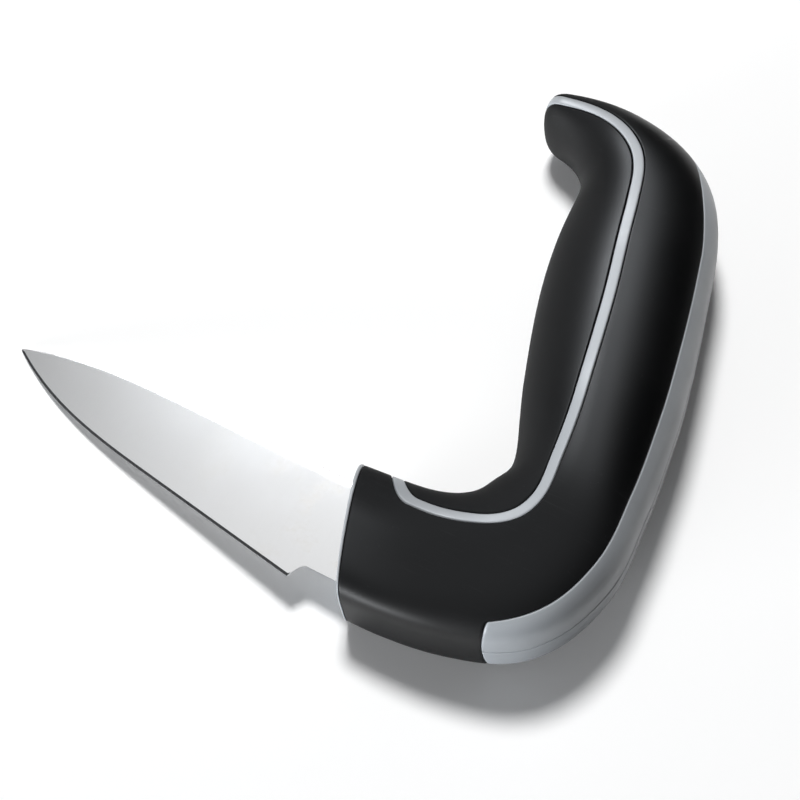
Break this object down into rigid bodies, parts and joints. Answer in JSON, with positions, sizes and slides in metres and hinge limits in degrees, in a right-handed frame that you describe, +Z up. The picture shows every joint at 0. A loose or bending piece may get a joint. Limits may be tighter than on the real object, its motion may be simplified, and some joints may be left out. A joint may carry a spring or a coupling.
{
  "type": "paring knife",
  "caption": "Paring knife with a short pointed fixed blade and an upright pistol grip with a hooked top, soft black covering and a light hard core that shows as a loop and a back band.",
  "frame": {"origin": "centre of the bounding box on the table, with the knife lying on its right side", "axes": "+X from the blade's tip toward the handle, +Y toward the top of the grip, +Z up, out of the knife's left side"},
  "size_m": [0.1616, 0.1514, 0.0328],
  "materials": {
    "blade_steel": "fine satin, bright ground edge",
    "core_plastic": "light grey satin moulding",
    "pin_steel": "turned",
    "soft_black": "matte to satin soft moulding"
  },
  "bodies": {
    "root": {"blade": "blade_steel", "core_left_shell": "core_plastic", "core_right_shell": "core_plastic", "tang_pin_front": "pin_steel", "tang_pin_rear": "pin_steel", "body_grip": "soft_black", "finger_grip": "soft_black"}
  },
  "joints": []
}
